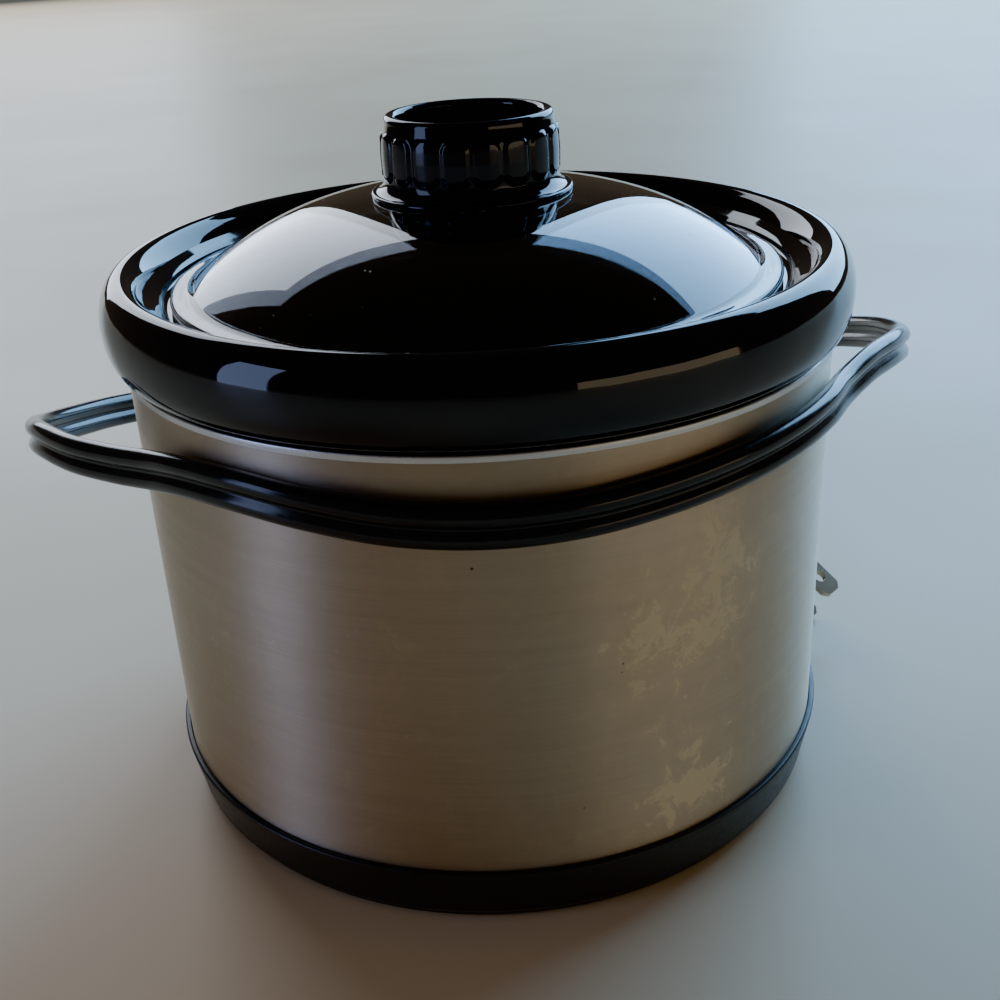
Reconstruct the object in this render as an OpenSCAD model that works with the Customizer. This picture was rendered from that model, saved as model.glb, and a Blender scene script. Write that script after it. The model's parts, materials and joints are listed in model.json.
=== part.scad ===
/* [Body] */
// Outer diameter of the steel shell
shell_d = 143; // [120:1:172]
// Height of the shell's top edge above the table
shell_top = 97.6; // [82:0.1:118]
// Sheet thickness of the shell
shell_t = 0.6; // [0.4:0.1:1]
// Radial space between the shell and the heating liner
jacket_gap = 8.6; // [8:0.1:12]
// Sheet thickness of the heating liner
liner_t = 0.8; // [0.6:0.1:1.2]
// Sheet thickness of the liner's flange, which lies on the shell's top edge
flange_t = 0.6; // [0.4:0.1:1]
// Height of the liner's floor above the table
liner_floor = 26; // [25:0.5:32]

/* [Base] */
// Height of the base's lip above the table
base_h = 13.7; // [12.5:0.1:15]
// How far the base's lip stands proud of the shell
base_proud = 1.3; // [0.8:0.1:2.5]
// How deep the shell sits behind the lip
shell_seat = 1.5; // [1:0.1:2.5]
// How far the base's wall stands inside the shell
base_wall = 2.4; // [1.8:0.1:3.5]
// Floor thickness of the base
base_floor = 2.2; // [1.8:0.1:3]
// Clearance under the base, which the feet stand across
foot_gap = 0.9; // [0.6:0.1:1.4]
// Height of the crease low on the base's side
crease_z = 3.6; // [3:0.1:5]
// Diameter of each rubber foot
foot_d = 13; // [8:0.5:18]
// How far the feet are let into the base
foot_recess = 1; // [0.5:0.1:1.2]
// Distance of the feet's centres from the shell's radius
foot_inset = 15; // [12:0.5:24]

/* [Crock] */
// Radial clearance between the crock and the liner
crock_gap = 2.2; // [1:0.1:4]
// Wall thickness of the crock
crock_wall = 6.2; // [4:0.1:8]
// Floor thickness of the crock
crock_floor_t = 7; // [5:0.1:10]
// Height of the crock's underside above the liner's floor
crock_lift = 1.2; // [0.6:0.1:3]
// How far the crock's wall leans in towards the floor
crock_draft = 2.5; // [0:0.1:5]
// How far the crock's rim stands out past the shell
rim_out = 3.7; // [2:0.1:6]
// Radial thickness of the rim
rim_w = 9.4; // [8:0.1:11]
// Height of the rim
rim_h = 16.2; // [13.5:0.1:20]
// Height of the lid's seat above the rim's lower edge
seat_up = 8.9; // [6:0.1:9.5]

/* [Lid] */
// Radial clearance between the lid and its recess
lid_gap = 2; // [0.8:0.1:3]
// Glass thickness
lid_t = 3; // [2:0.1:4]
// Height of the dome above the lid's underside
dome_rise = 17.7; // [12:0.1:26]
// How the dome falls towards its edge, 2 for round and more for a flatter top
dome_power = 2.9; // [2.4:0.1:3.5]

/* [Knob] */
// Widest diameter of the knob
knob_d = 35.4; // [28:0.1:43]
// Height of the knob above the dome's top
knob_h = 14.7; // [12:0.1:20]
// How far the knob's foot flares out past the knob
knob_flare = 2.3; // [1.6:0.1:4]
// Wall thickness of the knob
knob_wall = 2.2; // [1.6:0.1:3]
// Number of shallow flutes round the knob
flutes = 18; // [12:1:22]
// Shank diameter of the knob's screw
screw_d = 4; // [3:0.1:5]

/* [Heating] */
// Height of the heater band
band_h = 30; // [24:1:34]
// Thickness of the heater band
band_t = 1.8; // [1.2:0.1:2.4]
// Angle that the band leaves open at the back
band_open = 24; // [20:1:28]
// Thickness of the insulation
wool_t = 4; // [3:0.1:4.8]
// Angle that the insulation leaves open at the back, for the wiring
wool_open = 100; // [92:1:140]
// Diameter of the centre stud
stud_d = 4; // [3:0.1:5]

/* [Cord] */
// Width of the flat twin cord
cord_w = 7.7; // [6:0.1:8]
// Thickness of the flat twin cord
cord_t = 3.9; // [3:0.1:4.2]
// Length of the tapered strain relief outside the shell
boot_len = 22; // [20:0.5:22]

/* [Hidden] */
$fn = 96;

fit = 0.1; // clearance between pieces that are fastened together
body_gap = 0.3; // clearance between pieces that come apart
over = 1; // how far a cut runs past the face that it opens

// Heights
floor_z = foot_gap; // the base's underside
base_in_z = floor_z + base_floor;
shell_z0 = base_h - shell_seat;
rim_z0 = shell_top + flange_t + body_gap;
rim_mid_z = rim_z0 + rim_h / 2;
seat_z = rim_z0 + seat_up;
lid_z = seat_z + body_gap;
apex_z = lid_z + dome_rise;
crock_z0 = liner_floor + crock_lift;
crock_in_z = crock_z0 + crock_floor_t;
pan_z = liner_floor - liner_t; // the liner's underside

// Radii
shell_r = shell_d / 2;
shell_in_r = shell_r - shell_t;
liner_r = shell_in_r - jacket_gap;
liner_in_r = liner_r - liner_t;
crock_r = liner_in_r - crock_gap;
mouth_r = crock_r - crock_wall;
rim_r = shell_r + rim_out;
rim_mid_r = rim_r - rim_w / 2;
recess_wall = 2.3; // the lid's recess is this much narrower than the rim's inner side
seat_r = rim_r - rim_w - recess_wall;
lid_r = seat_r - lid_gap;
base_r = shell_r + base_proud;
base_in_r = shell_in_r - base_wall;

// Points along an ellipse's arc in n steps, from angle a0 to a1
function arc(cx, cy, rx, ry, a0, a1, n) =
    [for (i = [0:n]) let (a = a0 + (a1 - a0) * i / n) [cx + rx * cos(a), cy + ry * sin(a)]];

// A flat ring that stands on z = 0
module ring(r, hole_r, h) {
    difference() {
        cylinder(r = r, h = h);
        translate([0, 0, -over]) cylinder(r = hole_r, h = h + 2 * over);
    }
}

// A cylinder that lies along Y, from y0 to y1
module along_y(r, y0, y1, fn = $fn) {
    translate([0, y1, 0]) rotate([90, 0, 0]) cylinder(r = r, h = y1 - y0, $fn = fn);
}

// ---- Lid ----
flange_edge = 2.1; // thickness of the lid's flat edge
dome_r = lid_r - 3.6; // where the dome meets the flat edge
dome_steps = 22;
knob_hole_r = screw_d / 2 + 0.5;
function dome_drop(r) = (dome_rise - flange_edge) * pow(r / dome_r, dome_power);
function dome_z(r) = apex_z - dome_drop(r);
function dome_radii(r_end) =
    [for (i = [0:dome_steps]) knob_hole_r + (r_end - knob_hole_r) * i / dome_steps];

module lid() {
    edge_r = flange_edge / 2;
    inside = dome_radii(dome_r - 2);
    color([0.12, 0.13, 0.15, 0.7]) rotate_extrude() polygon(concat(
        [for (r = dome_radii(dome_r)) [r, dome_z(r)]],
        arc(lid_r - edge_r, lid_z + edge_r, edge_r, edge_r, 90, -90, 8),
        [for (i = [dome_steps:-1:0]) [inside[i], max(lid_z, dome_z(inside[i]) - lid_t)]]));
}

// ---- Knob, held from below by a screw through the dome ----
knob_r = knob_d / 2;
knob_foot_r = knob_r + knob_flare;
gasket_t = 0.6;
gasket_r = 9;
knob_z0 = apex_z + gasket_t;
knob_top = apex_z + knob_h;
knob_floor_t = 3;
knob_floor_z = knob_z0 + knob_floor_t;
lip_r = knob_r - 1.1; // the knob draws in a little at its top
flute_r = 5;
flute_depth = 0.45;
flute_foot = 4.5; // the flutes begin this far above the knob's underside
flute_end = 4.4; // and end this far below its top
screw_in = 2; // how far the screw reaches into the knob

module lid_knob() {
    foot_in = 1.2; // the foot's edge follows the dome over this width
    bulge = 2.5;
    lip = knob_wall / 2;
    flute_z = knob_z0 + flute_foot;
    color([0.03, 0.03, 0.035]) difference() {
        rotate_extrude() polygon(concat(
            [[0, knob_z0], [gasket_r + 2, knob_z0],
             [knob_foot_r - foot_in, dome_z(knob_foot_r - foot_in) + fit],
             [knob_foot_r, dome_z(knob_foot_r) + 0.5]],
            arc(knob_foot_r - 0.2, knob_z0 + 3.4, knob_flare + 0.3, 2.4, 270, 180, 6),
            arc(knob_r - bulge, knob_z0 + 6.6, bulge, 2 * bulge, -20, 55, 8),
            arc(lip_r - lip, knob_top - lip, lip, lip, 0, 180, 8),
            [[knob_r - knob_wall - 0.8, knob_floor_z + 1.5], [knob_r - knob_wall - 2.3, knob_floor_z],
             [0, knob_floor_z]]));
        for (i = [0:flutes - 1]) rotate([0, 0, i * 360 / flutes])
            translate([knob_r + flute_r - flute_depth, 0, flute_z])
                cylinder(r = flute_r, h = knob_top - flute_end - flute_z, $fn = 48);
        translate([0, 0, knob_z0 - over]) cylinder(r = (screw_d + fit) / 2, h = over + screw_in + 0.2);
    }
}

module knob_gasket() {
    color("black") translate([0, 0, apex_z]) ring(gasket_r, knob_hole_r, gasket_t);
}

washer_t = 1;
washer_r = 7;
washer_z = apex_z - lid_t - dome_drop(washer_r) - 0.05 - washer_t;
module knob_washer() {
    color("dimgray") translate([0, 0, washer_z]) ring(washer_r, (screw_d + fit) / 2, washer_t);
}

module knob_screw() {
    head_r = screw_d;
    head_h = 2.2;
    bevel = 0.8;
    slot_w = 1;
    tip_z = knob_z0 + screw_in - washer_z;
    color("silver") translate([0, 0, washer_z - head_h]) difference() {
        union() {
            cylinder(r1 = head_r - 1.2, r2 = head_r, h = bevel);
            translate([0, 0, bevel]) cylinder(r = head_r, h = head_h - bevel);
            translate([0, 0, bevel]) cylinder(r = screw_d / 2, h = tip_z + head_h - bevel);
        }
        for (a = [0, 90]) rotate([0, 0, a])
            translate([-screw_d / 2, -slot_w / 2, -over]) cube([screw_d, slot_w, over + 1.1]);
    }
}

// ---- Crock ----
module crock() {
    foot_r = crock_r - crock_draft;
    corner = 7; // radius where the wall meets the underside
    bowl = 9; // radius where the wall meets the floor inside
    ring_w = 12; // it stands on a ring this wide
    hollow = 1.2; // the height of the hollow inside that ring
    seat_round = 1.2;
    mouth_round = 2;
    rim_lip = 0.2; // the rim's flat underside ends this far inside the shell
    color([0.02, 0.02, 0.025]) rotate_extrude() polygon(concat(
        [[0, crock_z0 + hollow], [foot_r - ring_w - 0.8, crock_z0 + hollow], [foot_r - ring_w, crock_z0]],
        arc(foot_r - corner, crock_z0 + corner, corner, corner, -90, 0, 8),
        [[crock_r, rim_z0 - 2], [crock_r + 0.6, rim_z0 - 0.5], [crock_r + 1.6, rim_z0],
         [shell_r - rim_lip, rim_z0]],
        arc(rim_mid_r, rim_mid_z, rim_w / 2, rim_h / 2, -72, 150, 30),
        arc(seat_r - seat_round, seat_z + seat_round, seat_round, seat_round, 0, -90, 4),
        arc(mouth_r + mouth_round, seat_z - mouth_round, mouth_round, mouth_round, 90, 180, 6),
        arc(foot_r - crock_wall - bowl, crock_in_z + bowl, bowl, bowl, 0, -90, 8),
        [[0, crock_in_z]]));
}

// ---- Heating liner: the well that the crock drops into ----
module heating_liner() {
    corner = 4;
    hem = 0.5; // thickness of the hem that the flange turns down over the shell's edge
    hem_h = 0.8;
    hem_r = shell_r + fit;
    color("silver") rotate_extrude() polygon(concat(
        [[0, pan_z]],
        arc(liner_r - corner, pan_z + corner, corner, corner, -90, 0, 6),
        [[liner_r, shell_top], [hem_r, shell_top], [hem_r, shell_top - hem_h],
         [hem_r + hem, shell_top - hem_h], [hem_r + hem, shell_top + flange_t],
         [liner_in_r, shell_top + flange_t]],
        arc(liner_r - corner, pan_z + corner, corner - liner_t, corner - liner_t, 0, -90, 6),
        [[0, liner_floor]]));
}

// ---- Outer shell: a plain steel tube with the gland's hole at the back ----
gland_z = 25;
gland_r = 6;

module outer_shell() {
    color([0.75, 0.72, 0.7]) difference() {
        translate([0, 0, shell_z0]) ring(shell_r, shell_in_r, shell_top - shell_z0, $fn = 180);
        translate([0, 0, gland_z]) along_y(gland_r + fit, liner_r, shell_r + 4);
    }
}

// ---- Heater, insulation and fuse in the jacket between liner and shell ----
band_z = liner_floor + 12;
band_top = band_z + band_h;
band_in_r = liner_r + fit;
band_r = band_in_r + band_t;
band_mid_r = (band_in_r + band_r) / 2;
wool_in_r = band_r + 0.2;
wool_z0 = liner_floor + 6;
wool_z1 = shell_top - 6;
tab_h = 4.4; // how far the band's ends stand out
tab_t = 1.2;
tab_angle = band_open / 2 + 0.8; // where each end stands, from the back
eye_r = band_r + 2.6; // the springs hook through eyes at this radius
spring_z = [band_z + 7, band_top - 7];

// A ring round the Z axis that is open at the back by the given angle
module open_ring(r0, r1, z0, z1, angle) {
    reach = 2 * shell_r;
    translate([0, 0, z0]) difference() {
        ring(r1, r0, z1 - z0);
        translate([0, 0, -over]) linear_extrude(z1 - z0 + 2 * over)
            polygon([[0, 0], [reach * sin(angle / 2), reach * cos(angle / 2)],
                     [-reach * sin(angle / 2), reach * cos(angle / 2)]]);
    }
}

module heater_band() {
    color([0.72, 0.65, 0.5]) difference() {
        union() {
            open_ring(band_in_r, band_r, band_z, band_top, band_open);
            for (side = [-1, 1]) rotate([0, 0, side * tab_angle])
                translate([-tab_t / 2, band_r - tab_t / 2, band_z]) cube([tab_t, tab_h, band_h]);
        }
        for (side = [-1, 1]) for (z = spring_z) rotate([0, 0, side * tab_angle])
            translate([-2, eye_r, z]) rotate([0, 90, 0]) cylinder(r = 0.9, h = 4, $fn = 24);
    }
}

module insulation() {
    color([0.9, 0.88, 0.8]) open_ring(wool_in_r, wool_in_r + wool_t, wool_z0, wool_z1, wool_open);
}

// Sweeps a closed outline along a path. At each point of the path, sides gives the direction
// of the outline's second axis.
function unit(v) = v / norm(v);
function tangent(path, i) = unit(path[min(i + 1, len(path) - 1)] - path[max(i - 1, 0)]);
function across(t, up) = unit(up - (up * t) * t);
module sweep(path, outline, sides) {
    n = len(outline);
    last = (len(path) - 1) * n;
    rings = [for (i = [0:len(path) - 1]) let (w = sides[i], s = cross(tangent(path, i), w))
        for (p = outline) path[i] + s * p[0] + w * p[1]];
    polyhedron(rings, concat(
        [[for (k = [0:n - 1]) k]],
        [for (i = [0:len(path) - 2]) for (k = [0:n - 1])
            [i * n + k, (i + 1) * n + k, (i + 1) * n + (k + 1) % n, i * n + (k + 1) % n]],
        [[for (k = [n - 1:-1:0]) last + k]]), convexity = 10);
}
// The sides of a cord that keeps one way up, and those of a round wire, carried from point to point
function upright(path, up) = [for (i = [0:len(path) - 1]) across(tangent(path, i), up)];
function carried(path, up) = [for (i = 0, w = across(tangent(path, 0), up); i < len(path);
    i = i + 1, w = across(tangent(path, min(i, len(path) - 1)), w)) w];
module wire(path, r, n) {
    outline = [for (k = [0:n - 1]) let (a = k * 360 / n) [r * cos(a), r * sin(a)]];
    sweep(path, outline, carried(path, [0.1, 0.2, 1]));
}

// Two extension springs pull the band's ends together
module band_springs() {
    spring_wire_r = 0.45;
    coil_r = 1.6;
    turns = 6;
    per_turn = 12;
    steps = turns * per_turn;
    coil_x = 6; // half the coil's length
    tail = 1.8; // how far the hooks reach past their eyes
    x = eye_r * sin(tab_angle);
    y = eye_r * cos(tab_angle);
    coil = [for (i = [0:steps]) let (a = i * 360 / per_turn)
        [coil_x * (2 * i / steps - 1), y + coil_r * sin(a), coil_r * cos(a)]];
    color("silver") for (z = spring_z) translate([0, 0, z])
        wire(concat([[-x - tail, y, 0], [-x, y, 0], [-x + 3, y, 0], [-coil_x - 3, y, 0.3]], coil,
                    [[coil_x + 3, y, 0.3], [x - 3, y, 0], [x, y, 0], [x + tail, y, 0]]), spring_wire_r, 6);
}

// Places in the jacket: an angle from the back, a height and a radius
jacket_r = liner_r + 4.2;
function jacket(angle, z, r = jacket_r) = [r * sin(angle), r * cos(angle), z];

// The thermal fuse lies across the jacket's radius, above the band
fuse_angle = 32;
fuse_z = band_top + 12;
fuse_r = 1.9;
fuse_len = 10;
pin_reach = 10;
sleeve_r = 2.9;
sleeve_len = 16;
function fuse_pin(x) = [jacket_r * sin(fuse_angle) + x * cos(fuse_angle),
                        jacket_r * cos(fuse_angle) - x * sin(fuse_angle), fuse_z];
module at_fuse() {
    rotate([0, 0, -fuse_angle]) translate([0, jacket_r, fuse_z]) rotate([0, 90, 0]) children();
}

module thermal_fuse() {
    color("gold") at_fuse() {
        translate([0, 0, -fuse_len / 2]) cylinder(r = fuse_r, h = fuse_len);
        translate([0, 0, -pin_reach]) cylinder(r = 0.6, h = 2 * pin_reach, $fn = 24);
    }
}

module fuse_sleeve() {
    color([0.95, 0.93, 0.85]) at_fuse() translate([0, 0, -sleeve_len / 2])
        ring(sleeve_r, fuse_r + fit, sleeve_len);
}

// A strap round the sleeve, with its foot spot-welded to the liner
module fuse_clip() {
    clip_w = 6;
    clip_t = 0.6;
    foot_h = 7;
    color("silver") difference() {
        union() {
            at_fuse() translate([0, 0, -clip_w / 2]) cylinder(r = sleeve_r + clip_t, h = clip_w);
            rotate([0, 0, -fuse_angle]) translate([-clip_w / 2, liner_r - over, fuse_z - foot_h])
                cube([clip_w, over + 1.5, foot_h]);
        }
        at_fuse() translate([0, 0, -clip_w]) cylinder(r = sleeve_r + fit / 2, h = 2 * clip_w);
        cylinder(r = liner_r + fit / 2, h = shell_top);
    }
}

// ---- Wiring: the cord's two cores are spliced to glass-sleeved leads ----
wire_r = 0.9;
cord_tail = 4.9; // how far the cord reaches inside the shell, to its route's first point
cord_in_y = shell_in_r - cord_tail;
lobe = (cord_w - cord_t) / 2; // half the distance between the cord's two cores
splice_angle = 16;
splice_len = 9;
splice_z = band_z - 2 - splice_len / 2;
splice_z0 = splice_z - splice_len / 2 - fit;
splice_z1 = splice_z + splice_len / 2 + fit;

module splice_caps() {
    color([0.85, 0.8, 0.7]) for (side = [-1, 1])
        translate(jacket(side * splice_angle, splice_z - splice_len / 2)) cylinder(r = 2.4, h = splice_len);
}

// A core leaves the cord's end, turns sideways and climbs to its splice
module core(side) {
    bend = 1.4;
    bend_y = cord_in_y - 0.5;
    z = gland_z + side * lobe;
    wire(concat([[0, cord_in_y, z]],
                [for (p = arc(bend, bend_y, bend, bend, 180, 270, 4)) [side * p[0], p[1], z]],
                [[side * 6, bend_y - bend, z], jacket(side * 11, z + 0.4),
                 jacket(side * 15, min(z, splice_z0 - 3) + 0.8),
                 jacket(side * splice_angle, splice_z0 - 1.2), jacket(side * splice_angle, splice_z0)]),
         wire_r, 8);
}

// The line lead climbs past its splice to the fuse, and from there to the band's end
module lead_line() {
    climb = splice_angle + 1.5;
    color("ivory") {
        core(1);
        wire([jacket(splice_angle, splice_z1), jacket(splice_angle, splice_z1 + 2),
              jacket(climb, band_z + 8), jacket(climb, band_top), jacket(climb + 0.5, fuse_z - 4),
              jacket(climb + 2.5, fuse_z - 0.8), fuse_pin(-pin_reach - 3), fuse_pin(-pin_reach)],
             wire_r, 8);
        wire([fuse_pin(pin_reach), fuse_pin(pin_reach + 2), jacket(44, fuse_z - 1.5),
              jacket(44.5, fuse_z - 4), jacket(43, fuse_z - 7), jacket(38, band_top + 4, jacket_r - 1),
              jacket(35, band_top + 3, band_mid_r + 0.8), jacket(34, band_top + 1.5, band_mid_r),
              jacket(34, band_top, band_mid_r)],
             wire_r, 8);
    }
}

module lead_neutral() {
    climb = -splice_angle - 1.5;
    color("ivory") {
        core(-1);
        wire([jacket(-splice_angle, splice_z1), jacket(-splice_angle, splice_z1 + 2),
              jacket(climb, band_z + 8), jacket(climb, band_top), jacket(climb - 1.5, band_top + 3),
              jacket(climb - 6, band_top + 3.6, jacket_r - 2), jacket(-26, band_top + 1.6, band_mid_r),
              jacket(-26, band_top, band_mid_r)],
             wire_r, 8);
    }
}

// ---- Centre stud stack: it clamps liner, shell and base together ----
recess_r = 7; // the hollow under the base that takes the nut
recess_top = floor_z + 5;
boss_r = recess_r + 2.2;
boss_top = base_h + 1.8;
shield_t = 0.6;
weld_t = 0.8;
weld_z = pan_z - weld_t;
stud_hole = stud_d / 2 + 0.2;
nut_t = 3.2;
stud_washer_t = 1;

module liner_stud() {
    stud_z = floor_z + 0.3;
    color("silver") {
        translate([0, 0, weld_z]) cylinder(r = 7, h = weld_t);
        translate([0, 0, stud_z]) cylinder(r = stud_d / 2, h = weld_z + weld_t / 2 - stud_z);
    }
}

module stud_spacer() {
    z0 = boss_top + shield_t;
    color("gray") translate([0, 0, z0]) ring(5, stud_hole, weld_z - z0);
}

// A shallow tray that keeps the heat off the base, notched at the back for the wiring
module heat_shield() {
    rim_up = 3;
    shield_r = base_in_r - 1.5;
    notch_w = 24;
    notch_depth = 6.5;
    color([0.7, 0.72, 0.74]) translate([0, 0, boss_top]) difference() {
        ring(shield_r, stud_hole, shield_t + rim_up);
        translate([0, 0, shield_t]) cylinder(r = shield_r - shield_t, h = rim_up + over);
        translate([-notch_w / 2, shield_r - notch_depth, -over])
            cube([notch_w, notch_depth + over, rim_up + 3]);
    }
}

module base() {
    crease_r = base_r - 1.8;
    low_r = crease_r - 1.3;
    edge = 0.5;
    corner = 1.5;
    color([0.05, 0.05, 0.055]) difference() {
        rotate_extrude() polygon(concat(
            [[stud_hole, recess_top], [recess_r, recess_top], [recess_r, floor_z],
             [low_r - 1, floor_z], [low_r, floor_z + 1], [crease_r, crease_z]],
            arc(base_r - edge, base_h - edge, edge, edge, 0, 90, 4),
            [[shell_r + fit, base_h], [shell_r + fit, shell_z0], [base_in_r, shell_z0],
             [base_in_r, base_in_z + corner], [base_in_r - corner, base_in_z],
             [boss_r, base_in_z], [boss_r, boss_top], [stud_hole, boss_top]]));
        for (i = [1:feet]) foot_place(i)
            translate([0, 0, floor_z - over]) cylinder(r = foot_d / 2 + fit, h = foot_recess + over);
    }
}

module base_washer() {
    color("silver") translate([0, 0, recess_top - stud_washer_t])
        ring(4.5, (stud_d + fit) / 2, stud_washer_t);
}

module base_nut() {
    across_flats = 7;
    color("silver") translate([0, 0, recess_top - stud_washer_t - nut_t]) difference() {
        cylinder(r = across_flats / sqrt(3), h = nut_t, $fn = 6);
        translate([0, 0, -over]) cylinder(r = stud_d / 2 + 0.03, h = nut_t + 2 * over);
    }
}

feet = 4;
module foot_place(i) {
    rotate([0, 0, 45 + i * 360 / feet]) translate([shell_r - foot_inset, 0, 0]) children();
}
module rubber_foot(i) {
    bevel = 0.4;
    color([0.1, 0.1, 0.1]) foot_place(i) {
        translate([0, 0, bevel]) cylinder(r = foot_d / 2, h = floor_z + foot_recess - bevel);
        cylinder(r1 = foot_d / 2 - bevel, r2 = foot_d / 2, h = bevel);
    }
}

// ---- Strain relief: a gland through the shell with a tapered boot ----
// The outline of a flat twin cord: two half rounds with n points each
function twin(w, t, n) = let (c = (w - t) / 2, r = t / 2) concat(
    [for (i = [0:n - 1]) let (a = -90 + i * 180 / (n - 1)) [r * sin(a), c + r * cos(a)]],
    [for (i = [0:n - 1]) let (a = 90 + i * 180 / (n - 1)) [r * sin(a), -c + r * cos(a)]]);

module strain_relief() {
    collar_r = 8.5;
    collar_t = 2;
    lock_r = 7.5; // the ring that locks the gland inside the shell
    lock_t = 1.6;
    lock_gap = 0.8; // the shell curves towards the ring, so it stands off this far
    slot_gap = 0.3;
    skin = 1.1; // how much wider than the cord the boot ends
    boot_y = shell_r + fit;
    tip_y = boot_y + boot_len;
    color([0.05, 0.05, 0.05]) translate([0, 0, gland_z]) difference() {
        union() {
            along_y(collar_r, boot_y, boot_y + collar_t);
            along_y(gland_r, shell_in_r - lock_gap - lock_t, boot_y + collar_t / 2);
            along_y(lock_r, shell_in_r - lock_gap - lock_t, shell_in_r - lock_gap);
            hull() {
                along_y(lock_r - 0.5, boot_y + collar_t / 2, boot_y + collar_t, 32);
                translate([0, tip_y, 0]) rotate([90, 0, 0]) linear_extrude(0.5)
                    offset(r = skin) square([cord_t - 0.6, cord_w - 0.6], center = true);
            }
        }
        translate([0, tip_y + over, 0]) rotate([90, 0, 0]) linear_extrude(tip_y - liner_r)
            polygon(twin(cord_w + slot_gap, cord_t + slot_gap, 7));
    }
}

// ---- Cord: one turn round the body, from the boot to the plug ----
route = [
    [0, 66, 25], [0, 79, 25], [0, 94, 25], [2, 103, 26], [8, 112, 28], [18, 119, 32], [31, 121, 37],
    [45, 116, 44], [58, 106, 51], [70, 93, 58], [80, 77, 65], [87, 60, 71], [92, 44, 76], [94, 28, 80.5],
    [93, 12, 84], [87, -2, 87.5], [78, -15, 89], [69.5, -27, 88.8], [62.6, -39.1, 89.2],
    [54, -50.4, 89.3], [43.4, -59.8, 88.8], [30.1, -67.5, 87.9], [15.4, -72.3, 86.8],
    [0, -73.9, 86.4], [-15.4, -72.3, 87], [-30.1, -67.5, 88.4], [-42.4, -60.5, 89.2],
    [-53.2, -51.3, 88.3], [-61, -43.5, 86.5], [-70, -36, 85], [-80, -27.5, 84], [-89, -16, 82.5],
    [-95.5, -2, 78.5], [-98, 12, 74], [-96.5, 27, 70], [-92, 43, 66], [-83, 60, 61.5],
    [-70, 73, 57.5], [-53, 82, 54], [-33, 87, 50.5], [-12, 88, 47.5], [9, 85, 44.5], [28, 77, 40.5],
    [43, 68.5, 37], [59, 56, 29]];

module power_cord() {
    color([0.03, 0.03, 0.04]) sweep(route, twin(cord_w, cord_t, 6), upright(route, [0, 0, 1]));
}

// ---- Plug: it hangs from the cord's end with its blades down on the table ----
plug_len = 30;
plug_h = 22;
plug_t = 13;
blade_w = 6.3;
blade_t = 1.5;
blade_len = 17;
blade_pitch = 12.7;
blade_in = 6; // how far a blade reaches into the plug
module at_plug() {
    translate([75.2, 40, 15.1]) rotate([8, 31.3, -44.5]) children();
}

// One end of the plug's taper: a block with round corners, from x0 on
module plug_end(x0, length, h, t, corner) {
    translate([x0, 0, 0]) rotate([0, 90, 0]) linear_extrude(length)
        offset(r = corner, $fn = 32) square([h - 2 * corner, t - 2 * corner], center = true);
}

module plug_body() {
    nose = 6;
    color([0.03, 0.03, 0.04]) at_plug() difference() {
        hull() {
            plug_end(-nose, nose, plug_h, plug_t, 3);
            plug_end(-plug_len, 4, cord_w + 3, cord_t + 3, 2);
        }
        for (side = [-1, 1])
            translate([-blade_in - fit, -blade_w / 2 - fit, side * blade_pitch / 2 - blade_t / 2 - fit])
                cube([blade_in + over, blade_w + 2 * fit, blade_t + 2 * fit]);
    }
}

module plug_blade(side) {
    hole_r = 1.6;
    hole_x = 11.7;
    tip = 1.5;
    half = blade_w / 2;
    color([0.8, 0.78, 0.7]) at_plug() translate([0, 0, side * blade_pitch / 2 - blade_t / 2]) difference() {
        linear_extrude(blade_t)
            polygon([[-blade_in, -half], [blade_len - tip, -half], [blade_len, tip - half],
                     [blade_len, half - tip], [blade_len - tip, half], [-blade_in, half]]);
        translate([hole_x, 0, -over]) cylinder(r = hole_r, h = blade_t + 2 * over);
    }
}

lid();
lid_knob();
knob_gasket();
knob_washer();
knob_screw();
crock();
heating_liner();
outer_shell();
heater_band();
band_springs();
insulation();
thermal_fuse();
fuse_sleeve();
fuse_clip();
lead_line();
lead_neutral();
splice_caps();
liner_stud();
stud_spacer();
heat_shield();
base();
base_washer();
base_nut();
rubber_foot(1);  // foot_1
rubber_foot(2);  // foot_2
rubber_foot(3);  // foot_3
rubber_foot(4);  // foot_4
strain_relief();
power_cord();
plug_body();
plug_blade(1);  // plug_blade_1
plug_blade(-1);  // plug_blade_2
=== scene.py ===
import json
from math import atan2, copysign, cos, degrees, pi, radians, sin, sqrt

import bpy
import bmesh
from mathutils import Matrix, Vector


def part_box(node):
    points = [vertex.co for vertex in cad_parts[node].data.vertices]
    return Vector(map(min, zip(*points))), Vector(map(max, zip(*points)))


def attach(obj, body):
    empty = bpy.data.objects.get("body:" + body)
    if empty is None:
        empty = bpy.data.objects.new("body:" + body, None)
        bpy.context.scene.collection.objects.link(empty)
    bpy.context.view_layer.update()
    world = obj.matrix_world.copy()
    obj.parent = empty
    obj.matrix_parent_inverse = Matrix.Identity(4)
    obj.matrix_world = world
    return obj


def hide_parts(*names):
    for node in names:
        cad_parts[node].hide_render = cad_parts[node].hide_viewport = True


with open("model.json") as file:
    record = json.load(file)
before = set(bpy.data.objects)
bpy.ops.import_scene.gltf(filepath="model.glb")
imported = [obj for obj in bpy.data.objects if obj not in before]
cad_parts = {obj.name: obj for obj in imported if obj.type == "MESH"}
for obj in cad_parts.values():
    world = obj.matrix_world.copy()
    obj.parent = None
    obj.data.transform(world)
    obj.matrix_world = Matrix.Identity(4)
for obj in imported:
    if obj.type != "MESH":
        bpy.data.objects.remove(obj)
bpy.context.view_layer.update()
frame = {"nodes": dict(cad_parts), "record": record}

MM = 0.001
SCENE = bpy.context.scene
SAME_POINT = 1e-7


# ---------------------------------------------------------------- sizes from the frame
def box(node):
    """A CAD node's lowest and highest corners."""
    low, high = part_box(node)
    return Vector(low), Vector(high)


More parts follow.
